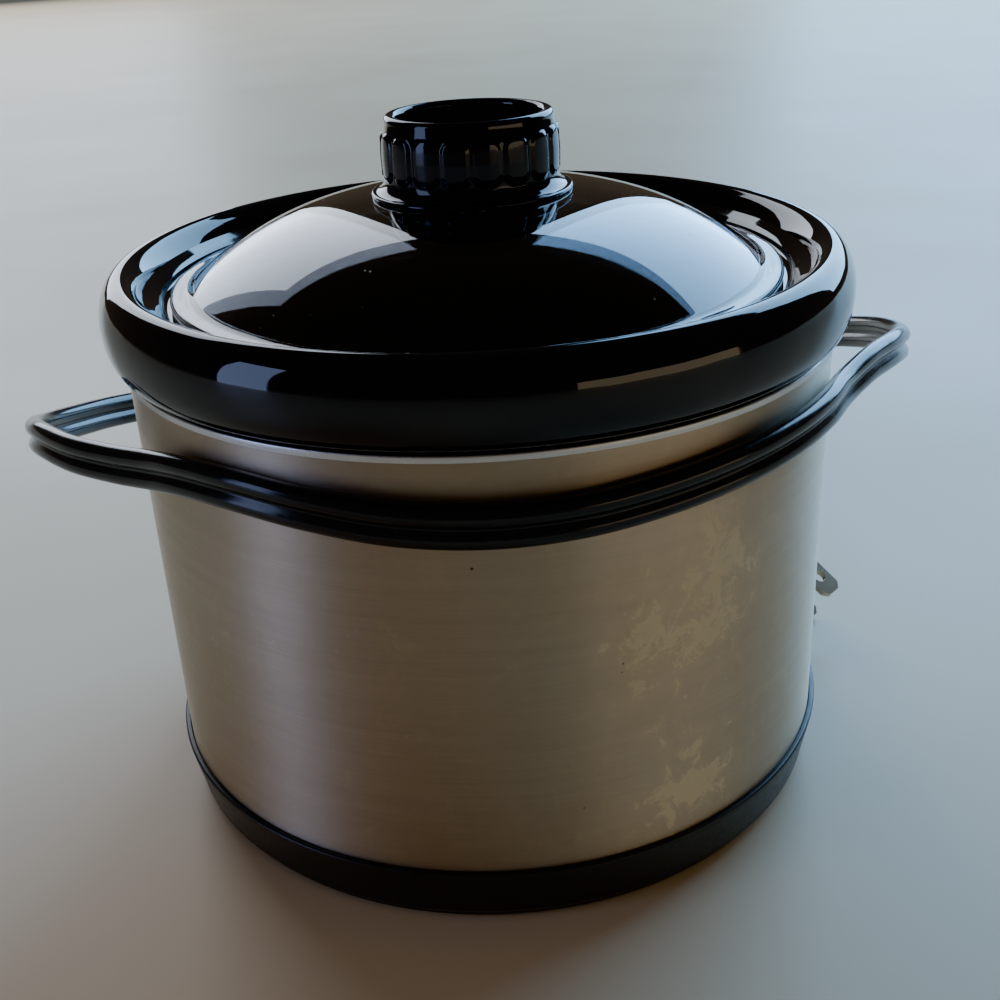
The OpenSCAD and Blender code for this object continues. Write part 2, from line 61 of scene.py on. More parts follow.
shell_low, shell_high = box("outer_shell")
crock_low, crock_high = box("crock")
liner_low, liner_high = box("heating_liner")
base_low, base_high = box("base")
lid_low, lid_high = box("lid")
knob_high = box("lid_knob")[1]
boot_tip = box("strain_relief")[1].y
foot_low, foot_high = box("foot_1")

shell_r, shell_z0, shell_z1 = shell_high.x, shell_low.z, shell_high.z
rim_r, rim_z1, crock_z0 = crock_high.x, crock_high.z, crock_low.z
hem_r, flange_z = liner_high.x, liner_high.z
base_r, base_z0, base_z1 = base_high.x, base_low.z, base_high.z
lid_r, lid_z, apex_z = lid_high.x, lid_low.z, lid_high.z
knob_foot_r, knob_top = knob_high.x, knob_high.z
foot_r = (foot_high.x - foot_low.x) / 2
foot_x = abs(foot_high.x + foot_low.x) / 2

# Sizes that no box gives, as in the part
SHELL_T = 0.6 * MM
JACKET = 8.6 * MM
LINER_T = 0.8 * MM
FIT = 0.1 * MM
GAP = 0.3 * MM
RIM_W = 9.4 * MM
SEAT_UP = 8.9 * MM
RECESS_WALL = 2.3 * MM
CROCK_GAP = 2.2 * MM
CROCK_WALL = 6.2 * MM
CROCK_FLOOR = 7 * MM
CROCK_DRAFT = 2.5 * MM
LID_T = 3 * MM
LID_EDGE = 2.1 * MM
LID_SKIRT = 3.6 * MM
DOME_POWER = 2.9
GASKET_T = 0.6 * MM
KNOB_FLARE = 2.3 * MM
KNOB_WALL = 2.2 * MM
KNOB_FLOOR = 3 * MM
FLUTES = 18
BASE_LIP_Z = 13.7 * MM
GLAND_Z = 25 * MM
CORD_W = 7.7 * MM
CORD_T = 3.9 * MM

shell_in_r = shell_r - SHELL_T
liner_r = shell_in_r - JACKET
liner_in_r = liner_r - LINER_T
rim_z0 = flange_z + GAP
seat_z = rim_z0 + SEAT_UP
knob_r = knob_foot_r - KNOB_FLARE
knob_z0 = apex_z + GASKET_T
dome_r = lid_r - LID_SKIRT


# ---------------------------------------------------------------- camera
CAMERA_AT = (0.0, -0.25242, 0.17606)
CAMERA_YAW, CAMERA_PITCH, CAMERA_ROLL = radians(0.53), radians(25.44), radians(-2.92)
CAMERA_LENS = 45.166


def make_camera():
    """The camera looks along +Y, turned by its yaw, down by its pitch and round by its roll."""
    data = bpy.data.cameras.new("camera")
    data.sensor_width = 36
    data.lens = CAMERA_LENS
    data.clip_start = 0.01
    cam = bpy.data.objects.new("camera", data)
    SCENE.collection.objects.link(cam)
    ahead = Vector((sin(CAMERA_YAW) * cos(CAMERA_PITCH), cos(CAMERA_YAW) * cos(CAMERA_PITCH),
                    -sin(CAMERA_PITCH)))
    level = Vector((cos(CAMERA_YAW), -sin(CAMERA_YAW), 0))
    over = level.cross(ahead)
    right = cos(CAMERA_ROLL) * level + sin(CAMERA_ROLL) * over
    up = cos(CAMERA_ROLL) * over - sin(CAMERA_ROLL) * level
    turn = Matrix((right, up, -ahead)).transposed().to_4x4()
    cam.matrix_world = Matrix.Translation(CAMERA_AT) @ turn
    SCENE.camera = cam


# ---------------------------------------------------------------- mesh helpers
def arc(cx, cz, rx, rz, a0, a1, n):
    """Points along an ellipse's arc in n steps, from angle a0 to a1 in degrees."""
    steps = [radians(a0 + (a1 - a0) * i / n) for i in range(n + 1)]
    return [(cx + rx * cos(a), cz + rz * sin(a)) for a in steps]


def line(p, q, n):
    """n steps of a straight line, without its last point."""
    return [(p[0] + (q[0] - p[0]) * i / n, p[1] + (q[1] - p[1]) * i / n) for i in range(n)]


def mesh_object(name, verts, faces, sharp=35):
    """A clean mesh, smooth but for edges that bend by more than sharp degrees."""
    mesh = bpy.data.meshes.new(name)
    mesh.from_pydata([tuple(v) for v in verts], [], faces)
    bm = bmesh.new()
    bm.from_mesh(mesh)
    bmesh.ops.remove_doubles(bm, verts=bm.verts, dist=SAME_POINT)
    bmesh.ops.recalc_face_normals(bm, faces=bm.faces)
    bm.to_mesh(mesh)
    bm.free()
    mesh.shade_smooth()
    mesh.set_sharp_from_angle(angle=radians(sharp))
    obj = bpy.data.objects.new(name, mesh)
    SCENE.collection.objects.link(obj)
    return obj


def lathe(name, profile, steps=240, closed=False, shift=None, sharp=35):
    """A surface of revolution about Z. A profile point on the axis becomes one vertex; closed
    joins the last point to the first; shift(angle, r, z) gives a point's changed r and z."""
    verts, rings = [], []
    for r, z in profile:
        if r < SAME_POINT:
            rings.append([len(verts)] * steps)
            verts.append((0, 0, z))
            continue
        rings.append(list(range(len(verts), len(verts) + steps)))
        for k in range(steps):
            a = 2 * pi * k / steps
            rr, zz = shift(a, r, z) if shift else (r, z)
            verts.append((rr * cos(a), rr * sin(a), zz))
    faces = []
    pairs = list(zip(rings, rings[1:])) + ([(rings[-1], rings[0])] if closed else [])
    for low, high in pairs:
        for k in range(steps):
            n = (k + 1) % steps
            corners = [low[k], low[n], high[n], high[k]]
            face = [v for i, v in enumerate(corners) if v not in corners[:i]]
            if len(face) > 2:
                faces.append(face)
    return mesh_object(name, verts, faces, sharp)


def loft(name, rings, closed=False, sharp=35):
    """A skin through rings of points that all have the same count, capped unless it is closed."""
    n = len(rings[0])
    verts = [p for ring in rings for p in ring]
    faces = []
    for i in range(len(rings) if closed else len(rings) - 1):
        j = (i + 1) % len(rings)
        for k in range(n):
            m = (k + 1) % n
            faces.append([i * n + k, i * n + m, j * n + m, j * n + k])
    if not closed:
        faces.append(list(range(n)))
        faces.append(list(range((len(rings) - 1) * n, len(rings) * n)))
    return mesh_object(name, verts, faces, sharp)


def cut(obj, cutters):
    """Cuts the cutters out of obj and removes them."""
    for c in cutters:
        mod = obj.modifiers.new("cut", "BOOLEAN")
        mod.operation = "DIFFERENCE"
        mod.solver = "EXACT"
        mod.object = c
    bpy.context.view_layer.update()
    mesh = bpy.data.meshes.new_from_object(obj.evaluated_get(bpy.context.evaluated_depsgraph_get()))
    obj.modifiers.clear()
    obj.data = mesh
    for c in cutters:
        bpy.data.objects.remove(c)


def squarer(value, power):
    """A cosine or sine for a superellipse: power 2 keeps it round, and more makes it squarer."""
    return copysign(abs(value) ** (2 / power), value)


def place(obj, body, node, look):
    """Makes obj stand for a CAD node."""
    obj.data.materials.clear()
    obj.data.materials.append(look)
    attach(obj, body)
    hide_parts(node)
    return obj


# ---------------------------------------------------------------- material helpers
class Look:
    """A procedural material: a Principled shader and short calls that add nodes to it."""

    def __init__(self, name, color, roughness=0.5, **settings):
        self.material = bpy.data.materials.new(name)
        self.material.use_nodes = True
        self.tree = self.material.node_tree
        self.shader = self.tree.nodes["Principled BSDF"]
        self.set("Base Color", (*color, 1))
        self.set("Roughness", roughness)
        for key, value in settings.items():
            self.set(key.replace("_", " "), value)
        self.where = self.add("ShaderNodeTexCoord").outputs["Object"]

    def set(self, socket, value):
        """Links or sets one of the shader's own sockets."""
        if isinstance(value, bpy.types.NodeSocket):
            self.tree.links.new(value, self.shader.inputs[socket])
        else:
            self.shader.inputs[socket].default_value = value

    def add(self, kind, inputs=None, **props):
        """A new node, with its properties and its linked or constant inputs."""
        node = self.tree.nodes.new(kind)
        for key, value in props.items():
            setattr(node, key, value)
        for key, value in (inputs or {}).items():
            if isinstance(value, bpy.types.NodeSocket):
                self.tree.links.new(value, node.inputs[key])
            else:
                node.inputs[key].default_value = value
        return node

    def math(self, operation, a, b=0.0, c=0.0, clamp=False):
        node = self.add("ShaderNodeMath", {0: a, 1: b, 2: c}, operation=operation, use_clamp=clamp)
        return node.outputs[0]

    def noise(self, scale, detail=4, roughness=0.55, where=None, distortion=0.0):
        node = self.add("ShaderNodeTexNoise", {"Vector": where or self.where, "Scale": scale,
                                               "Detail": detail, "Roughness": roughness,
                                               "Distortion": distortion})
        return node.outputs["Fac"]

    def flecks(self, scale, small, large, field, low, high, where=None):
        """Round dots, full up to small and gone at large, that show where the field is high."""
        cells = self.add("ShaderNodeTexVoronoi", {"Vector": where or self.where, "Scale": scale})
        dots = self.step(cells.outputs["Distance"], small, large, 1.0, 0.0)
        return self.math("MULTIPLY", dots, self.step(field, low, high))

    def scaled(self, x, y, z):
        """Coordinates stretched by a factor along each axis."""
        return self.add("ShaderNodeMapping", {"Vector": self.where, "Scale": (x, y, z)}).outputs[0]

    def step(self, value, low, high, to_low=0.0, to_high=1.0):
        """value from low to high becomes to_low to to_high, held outside."""
        node = self.add("ShaderNodeMapRange", {"Value": value, "From Min": low, "From Max": high,
                                               "To Min": to_low, "To Max": to_high}, clamp=True)
        return node.outputs[0]

    def mix(self, factor, a, b):
        """A colour between a and b."""
        node = self.add("ShaderNodeMix", data_type="RGBA")
        for key, value in ((0, factor), (6, a), (7, b)):
            if isinstance(value, bpy.types.NodeSocket):
                self.tree.links.new(value, node.inputs[key])
            else:
                node.inputs[key].default_value = value if key == 0 else (*value, 1)
        return node.outputs[2]

    def bump(self, height, distance, strength, under=None):
        """A normal bumped by height, over the normal under it if there is one."""
        inputs = {"Height": height, "Distance": distance, "Strength": strength}
        if under:
            inputs["Normal"] = under
        return self.add("ShaderNodeBump", inputs).outputs[0]

    def parts(self):
        """The x, y and z of a point."""
        return self.add("ShaderNodeSeparateXYZ", {"Vector": self.where}).outputs

    def vector(self, x, y, z):
        return self.add("ShaderNodeCombineXYZ", {"X": x, "Y": y, "Z": z}).outputs[0]

    def round_the_axis(self, radius):
        """Arc length round the Z axis from the front, at that radius, and the height."""
        x, y, z = self.parts()
        angle = self.math("ARCTAN2", x, self.math("MULTIPLY", y, -1.0))
        return self.math("MULTIPLY", angle, radius), z

    def hypot(self, a, b):
        """The square root of a squared and b squared together."""
        return self.math("SQRT", self.math("ADD", self.math("MULTIPLY", a, a), self.math("MULTIPLY", b, b)))

    def spot(self, u, v, u0, v0, size_u, size_v):
        """1 in the middle of an oval patch, falling to 0 at its edge."""
        du = self.math("DIVIDE", self.math("SUBTRACT", u, u0), size_u)
        dv = self.math("DIVIDE", self.math("SUBTRACT", v, v0), size_v)
        return self.math("SUBTRACT", 1.0, self.hypot(du, dv), clamp=True)


# ---------------------------------------------------------------- materials
# Oval stains in millimetres: the middle's arc length from the front and height, and the half size
STAIN_PATCHES = ((29, 58, 15, 22), (42, 66, 17, 26), (37, 24, 20, 18))


def brushed_steel_look():
    """Stainless sheet brushed round its axis, with stains, droplets, specks and light scratches."""
    m = Look("shell_steel", (0.4, 0.38, 0.36), 0.45, Metallic=1.0, Anisotropic=0.8,
             Anisotropic_Rotation=0.25)
    tangent = m.add("ShaderNodeTangent", direction_type="RADIAL", axis="Z").outputs[0]
    m.set("Tangent", tangent)
    u, v = m.round_the_axis(shell_r)
    grain = m.noise(1.0, 6, 0.7, m.vector(m.math("MULTIPLY", u, 60.0), 0.0, m.math("MULTIPLY", v, 5200.0)))
    broad = m.noise(1.0, 3, 0.5, m.vector(m.math("MULTIPLY", u, 14.0), 0.0, m.math("MULTIPLY", v, 420.0)))
    cloud = m.noise(38.0, 4, 0.6)
    where = m.vector(u, 0.0, v)
    ragged = m.noise(150.0, 9, 0.68, where, 0.7)
    zone = 0.0
    for u0, v0, size_u, size_v in STAIN_PATCHES:
        spot = m.spot(u, v, u0 * MM, v0 * MM, size_u * MM, size_v * MM)
        zone = m.math("MAXIMUM", zone, spot)
    mottle = m.noise(900.0, 6, 0.75, where, 0.2)
    soiled = m.math("ADD", m.math("MULTIPLY_ADD", mottle, 0.22, ragged), m.math("MULTIPLY", zone, 0.30))
    stain = m.step(soiled, 0.80, 0.86)
    haze = m.step(soiled, 0.62, 0.86)
    splashed = m.math("ADD", m.noise(60.0, 3, 0.5, where), m.math("MULTIPLY", zone, 0.25))
    drops = m.flecks(330.0, 0.12, 0.18, splashed, 0.60, 0.70, where)
    specks = m.flecks(150.0, 0.035, 0.05, m.noise(45.0, 2, 0.5, where), 0.56, 0.6, where)
    tilt = m.vector(m.math("ADD", m.math("MULTIPLY", u, 90.0), m.math("MULTIPLY", v, 110.0)), 0.0,
                    m.math("SUBTRACT", m.math("MULTIPLY", v, 1500.0), m.math("MULTIPLY", u, 1500.0)))
    scratch = m.step(m.noise(1.0, 2, 0.4, tilt), 0.755, 0.775)
    # The steel's tones are darker and warmer than bare steel. This is a painted reflection of a warm floor
    # in shade, laid over the brushed grain's own random changes of tone.
    tone = m.mix(m.step(grain, 0.3, 0.7), (0.50, 0.41, 0.31), (0.62, 0.525, 0.41))
    tone = m.mix(m.step(broad, 0.35, 0.75, 0.0, 0.35), tone, (0.70, 0.59, 0.47))
    tone = m.mix(m.step(cloud, 0.45, 0.75, 0.0, 0.35), tone, (0.54, 0.42, 0.27))
    tone = m.mix(m.math("MULTIPLY", haze, 0.38), tone, (0.72, 0.60, 0.41))
    tone = m.mix(m.math("MULTIPLY", stain, 0.58), tone, (0.95, 0.86, 0.63))
    tone = m.mix(m.math("MULTIPLY", drops, 0.5), tone, (0.80, 0.76, 0.70))
    tone = m.mix(m.math("MULTIPLY", scratch, 0.4), tone, (0.86, 0.84, 0.82))
    tone = m.mix(m.math("MULTIPLY", specks, 0.8), tone, (0.05, 0.04, 0.035))
    m.set("Base Color", tone)
    rough = m.math("ADD", m.step(grain, 0.3, 0.7, 0.40, 0.50), m.math("MULTIPLY", stain, 0.16))
    rough = m.math("ADD", rough, m.math("MULTIPLY", drops, 0.1))
    m.set("Roughness", rough)
    m.set("Metallic", m.math("SUBTRACT", 1.0, m.math("MULTIPLY", stain, 0.35)))
    under = m.bump(m.noise(9.0, 2, 0.4), 0.25 * MM, 0.35)
    m.set("Normal", m.bump(grain, 0.012 * MM, 0.5, under))
    return m.material


def plain_metal_look(name, low, high, roughness, lathe_lines=0.0, scale=300.0):
    """Sheet or plated metal with slight tone changes, fine scratches and, if asked, spun rings."""
    m = Look(name, high, roughness, Metallic=1.0)
    patch = m.noise(scale / 6, 4, 0.6)
    fine = m.noise(scale * 4, 5, 0.7)
    m.set("Base Color", m.mix(m.step(patch, 0.35, 0.7), low, high))
    m.set("Roughness", m.step(fine, 0.3, 0.7, roughness * 0.8, roughness * 1.25))
    height = fine
    if lathe_lines:
        x, y, z = m.parts()
        run = m.math("ADD", m.hypot(x, y), z)
        height = m.math("ADD", m.math("SINE", m.math("MULTIPLY", run, lathe_lines)), fine)
    m.set("Normal", m.bump(height, 0.02 * MM, 0.4))
    return m.material


def glaze_look():
    """Black glazed stoneware, bare and sandy on the ring that it stands on."""
    m = Look("crock_glaze", (0.006, 0.006, 0.008), 0.045, IOR=1.55)
    z = m.parts()[2]
    edge = m.math("MULTIPLY", m.noise(120.0, 4, 0.6), 1.4 * MM)
    bare = m.step(m.math("SUBTRACT", z, edge), crock_z0 + 0.6 * MM, crock_z0 + 0.9 * MM, 1.0, 0.0)
    pits = m.flecks(420.0, 0.06, 0.09, m.noise(60.0, 2), 0.55, 0.6)
    glaze = m.mix(m.step(m.noise(70.0, 5, 0.6), 0.4, 0.75), (0.0035, 0.0045, 0.009), (0.009, 0.009, 0.011))
    clay = m.mix(m.noise(900.0, 5, 0.7), (0.36, 0.28, 0.20), (0.55, 0.46, 0.36))
    m.set("Base Color", m.mix(bare, glaze, clay))
    film = m.step(m.noise(45.0, 6, 0.65, distortion=0.6), 0.5, 0.8, 0.0, 0.06)
    glossy = m.math("ADD", 0.035, film)
    m.set("Roughness", m.math("ADD", glossy, m.math("MULTIPLY", bare, 0.75), clamp=True))
    wave = m.bump(m.noise(75.0, 2, 0.4), 0.22 * MM, 0.6)
    sand = m.bump(m.math("MULTIPLY", m.noise(1500.0, 4, 0.7), bare), 0.15 * MM, 0.8, wave)
    m.set("Normal", m.bump(pits, -0.02 * MM, 0.4, sand))
    return m.material


def lid_glass_look():
    """Smoked tempered glass with faint smears and dust."""
    m = Look("lid_glass", (0.42, 0.45, 0.50), 0.012, IOR=1.5, Transmission_Weight=1.0)
    smear = m.noise(60.0, 6, 0.7, m.scaled(1.0, 2.2, 1.0), 1.5)
    dust = m.flecks(520.0, 0.07, 0.11, m.noise(90.0, 3), 0.58, 0.62)
    m.set("Base Color", m.mix(dust, (0.36, 0.39, 0.45), (0.72, 0.72, 0.70)))
    m.set("Roughness", m.math("ADD", m.step(smear, 0.45, 0.8, 0.006, 0.07), m.math("MULTIPLY", dust, 0.4)))
    m.set("Normal", m.bump(m.noise(26.0, 2, 0.4), 0.12 * MM, 0.35))
    return m.material


def gloss_plastic_look(name, color, tint, roughness, wave, wear=0.12):
    """Moulded plastic: slight waviness, fine orange peel, handling marks and dust."""
    m = Look(name, color, roughness, IOR=1.5)
    marks = m.step(m.noise(160.0, 6, 0.7, distortion=1.0), 0.52, 0.8)
    dust = m.flecks(700.0, 0.06, 0.1, m.noise(120.0, 3), 0.57, 0.6)
    tone = m.mix(m.noise(50.0, 3), color, tint)
    m.set("Base Color", m.mix(m.math("MULTIPLY", dust, 0.5), tone, (0.16, 0.16, 0.17)))
    worn = m.math("MULTIPLY_ADD", marks, wear, roughness)
    m.set("Roughness", m.math("ADD", worn, m.math("MULTIPLY", dust, 0.3)))
    under = m.bump(m.noise(90.0, 2, 0.4), 0.3 * MM, wave)
    m.set("Normal", m.bump(m.noise(2600.0, 3, 0.6), 0.008 * MM, 0.4, under))
    return m.material


def satin_plastic_look():
    """The base's satin black: fine spark-eroded grain, paler scuffs and dust on its highest faces."""
    m = Look("base_plastic", (0.016, 0.016, 0.018), 0.38, IOR=1.48)
    z = m.parts()[2]
    scuff = m.step(m.noise(130.0, 7, 0.72, m.scaled(1, 1, 5), 0.8), 0.56, 0.8)
    highest = m.step(z, base_z1 - 0.9 * MM, base_z1 - 0.2 * MM)
    dust = m.math("MULTIPLY", highest, m.step(m.noise(700.0, 5, 0.7), 0.4, 0.7))
    tone = m.mix(m.noise(60.0, 4), (0.016, 0.016, 0.015), (0.030, 0.029, 0.026))
    tone = m.mix(m.math("MULTIPLY", scuff, 0.35), tone, (0.07, 0.065, 0.06))
    m.set("Base Color", m.mix(m.math("MULTIPLY", dust, 0.4), tone, (0.12, 0.12, 0.13)))
    grained = m.step(m.noise(900.0, 4), 0.3, 0.7, 0.3, 0.42)
    m.set("Roughness", m.math("ADD", grained, m.math("MULTIPLY", scuff, 0.18)))
    m.set("Normal", m.bump(m.noise(3200.0, 3, 0.6), 0.015 * MM, 0.6))
    return m.material


def rubber_look(name, color):
    """Matt rubber with a paler bloom and a fine grain."""
    m = Look(name, color, 0.72, IOR=1.5)
    bloom = m.noise(200.0, 5, 0.65)
    paler = tuple(min(1.0, c * 2.2 + 0.01) for c in color)
    m.set("Base Color", m.mix(m.step(bloom, 0.4, 0.8, 0.0, 0.7), color, paler))
    m.set("Roughness", m.step(bloom, 0.3, 0.7, 0.6, 0.82))
    m.set("Normal", m.bump(m.noise(2200.0, 4, 0.6), 0.03 * MM, 0.6))
    return m.material


def cord_look():
    """Glossy PVC with the faint drag lines and the small waves of an extruded flat cord."""
    m = Look("cord_pvc", (0.010, 0.010, 0.013), 0.2, IOR=1.5)
    marks = m.step(m.noise(240.0, 6, 0.7, distortion=0.8), 0.5, 0.8)
    tone = m.mix(m.noise(90.0, 4), (0.008, 0.008, 0.011), (0.018, 0.018, 0.021))
    lint = m.flecks(800.0, 0.06, 0.1, m.noise(150.0, 3), 0.58, 0.61)
    m.set("Base Color", m.mix(m.math("MULTIPLY", lint, 0.5), tone, (0.14, 0.14, 0.15)))
    m.set("Roughness", m.math("MULTIPLY_ADD", marks, 0.16, 0.17))
    waves = m.bump(m.noise(110.0, 2, 0.4), 0.15 * MM, 0.5)
    m.set("Normal", m.bump(m.noise(1.0, 3, 0.6, m.scaled(160, 160, 2600)), 0.012 * MM, 0.5, waves))
    return m.material


def woven_look(name, warp, weft, pitch):
    """Glass-fibre sleeving or blanket: crossed threads with uneven tone."""
    m = Look(name, warp, 0.85, IOR=1.45)
    x, y, z = m.parts()
    run = m.math("ADD", x, y)
    a = m.math("SINE", m.math("MULTIPLY", m.math("ADD", run, z), 2 * pi / pitch))
    b = m.math("SINE", m.math("MULTIPLY", m.math("SUBTRACT", run, z), 2 * pi / pitch))
    weave = m.math("MULTIPLY", a, b)
    fuzz = m.noise(900.0, 6, 0.75)
    blend = m.math("MULTIPLY_ADD", fuzz, 0.6, m.math("MULTIPLY", weave, 0.3))
    m.set("Base Color", m.mix(blend, warp, weft))
    m.set("Roughness", m.step(fuzz, 0.3, 0.7, 0.75, 0.95))
    m.set("Normal", m.bump(m.math("MULTIPLY_ADD", weave, 0.7, fuzz), 0.12 * MM, 0.7))
    return m.material


def mica_look():
    """The heater band's folded sheath, with heat tints and rows of pressed beads."""
    m = Look("heater_mica", (0.55, 0.50, 0.42), 0.42, Metallic=0.8)
    z = m.parts()[2]
    beads = m.math("SINE", m.math("MULTIPLY", z, 2 * pi / (5 * MM)))
    tint = m.noise(70.0, 5, 0.6)
    m.set("Base Color", m.mix(m.step(tint, 0.35, 0.7), (0.58, 0.53, 0.45), (0.40, 0.30, 0.19)))
    m.set("Roughness", m.step(m.noise(600.0, 4), 0.3, 0.7, 0.35, 0.52))
    m.set("Normal", m.bump(beads, 0.12 * MM, 0.6))
    return m.material


def ceramic_look():
    """Unglazed ceramic with a slightly uneven tone."""
    m = Look("splice_ceramic", (0.78, 0.74, 0.64), 0.6, IOR=1.5)
    m.set("Base Color", m.mix(m.noise(500.0, 5), (0.72, 0.68, 0.58), (0.84, 0.80, 0.71)))
    m.set("Roughness", m.step(m.noise(800.0, 4), 0.3, 0.7, 0.5, 0.7))
    m.set("Normal", m.bump(m.noise(1800.0, 4, 0.6), 0.04 * MM, 0.5))
    return m.material


def make_looks():
    """One material for each slot in the record."""
    metal, plastic, rubber, woven = plain_metal_look, gloss_plastic_look, rubber_look, woven_look
    black = (0.010, 0.010, 0.013)
    return {
        "shell_steel": brushed_steel_look(),
        "crock_glaze": glaze_look(),
        "lid_glass": lid_glass_look(),
        "knob_plastic": plastic("knob_plastic", (0.003, 0.004, 0.013), (0.004, 0.007, 0.024), 0.055,
                                0.25, 0.08),
        "plug_pvc": plastic("plug_pvc", black, (0.018, 0.018, 0.021), 0.3, 0.3),
        "base_plastic": satin_plastic_look(),
        "cord_pvc": cord_look(),
        "relief_rubber": rubber("relief_rubber", (0.014, 0.014, 0.016)),
        "gasket_rubber": rubber("gasket_rubber", (0.02, 0.02, 0.02)),
        "foot_rubber": rubber("foot_rubber", (0.035, 0.035, 0.036)),
        "liner_aluminium": metal("liner_aluminium", (0.62, 0.62, 0.63), (0.78, 0.78, 0.79), 0.32,
                                 2 * pi / (0.7 * MM)),
        "zinc_steel": metal("zinc_steel", (0.50, 0.50, 0.49), (0.68, 0.68, 0.66), 0.28, scale=500.0),
        "blade_brass": metal("blade_brass", (0.62, 0.56, 0.42), (0.80, 0.75, 0.62), 0.22, scale=700.0),
        "fuse_brass": metal("fuse_brass", (0.58, 0.42, 0.18), (0.74, 0.58, 0.30), 0.3, scale=700.0),
        "heater_mica": mica_look(),
        "insulation_wool": woven("insulation_wool", (0.80, 0.76, 0.66), (0.66, 0.62, 0.52), 3.2 * MM),
        "glass_sleeving": woven("glass_sleeving", (0.82, 0.78, 0.66), (0.62, 0.58, 0.48), 0.9 * MM),
        "splice_ceramic": ceramic_look(),
    }


# ---------------------------------------------------------------- cord: one turn round the body
ROUTE = [
    (0, 66, 25), (0, 79, 25), (0, 94, 25), (2, 103, 26), (8, 112, 28), (18, 119, 32), (31, 121, 37),
    (45, 116, 44), (58, 106, 51), (70, 93, 58), (80, 77, 65), (87, 60, 71), (92, 44, 76), (94, 28, 80.5),
    (93, 12, 84), (87, -2, 87.5), (78, -15, 89), (69.5, -27, 88.8), (62.6, -39.1, 89.2),
    (54, -50.4, 89.3), (43.4, -59.8, 88.8), (30.1, -67.5, 87.9), (15.4, -72.3, 86.8),
    (0, -73.9, 86.4), (-15.4, -72.3, 87), (-30.1, -67.5, 88.4), (-42.4, -60.5, 89.2),
    (-53.2, -51.3, 88.3), (-61, -43.5, 86.5), (-70, -36, 85), (-80, -27.5, 84), (-89, -16, 82.5),
    (-95.5, -2, 78.5), (-98, 12, 74), (-96.5, 27, 70), (-92, 43, 66), (-83, 60, 61.5),
    (-70, 73, 57.5), (-53, 82, 54), (-33, 87, 50.5), (-12, 88, 47.5), (9, 85, 44.5), (28, 77, 40.5),
    (43, 68.5, 37), (59, 56, 29)]


def smooth_path(points, per_span):
    """A Catmull-Rom curve through the points."""
    pts = [Vector(p) * MM for p in points]
    ends = [2 * pts[0] - pts[1]] + pts + [2 * pts[-1] - pts[-2]]
    out = []
    for i in range(len(pts) - 1):
        a, b, c, d = ends[i:i + 4]
        for k in range(per_span):
            t = k / per_span
            out.append(0.5 * (2 * b + (c - a) * t + (2 * a - 5 * b + 4 * c - d) * t ** 2
                              + (3 * b - a - 3 * c + d) * t ** 3))
    return out + [pts[-1]]


def along(path):
    """At each point of the path: the point, its thin direction and its wide direction."""
    up = Vector((0, 0, 1))
    for i, p in enumerate(path):
        t = (path[min(i + 1, len(path) - 1)] - path[max(i - 1, 0)]).normalized()
        wide = (up - up.dot(t) * t).normalized()
        yield p, t.cross(wide), wide


def twin_outline(width, thick, per_lobe=14, web=0.62):
    """A flat twin cord's section: two round lobes and a groove between them on each side."""
    r = thick / 2
    c = (width - thick) / 2
    half_web = r * web
    start = degrees(atan2(half_web, -sqrt(r * r - half_web ** 2)))
    lobe = [(p, c + q) for q, p in arc(0, 0, r, r, start, -start, per_lobe)]
    groove = half_web * 0.86
    return lobe + [(-groove, 0)] + [(-p, -q) for p, q in lobe] + [(groove, 0)]


def make_cord(looks):
    """The flat twin cord, and the path that its middle follows."""
    path = smooth_path(ROUTE, per_span=9)
    outline = twin_outline(CORD_W, CORD_T)
    rings = [[p + s * a + w * b for a, b in outline] for p, s, w in along(path)]
    cord = place(loft("flat_cord", rings, sharp=50), "housing", "power_cord", looks["cord_pvc"])
    return cord, path


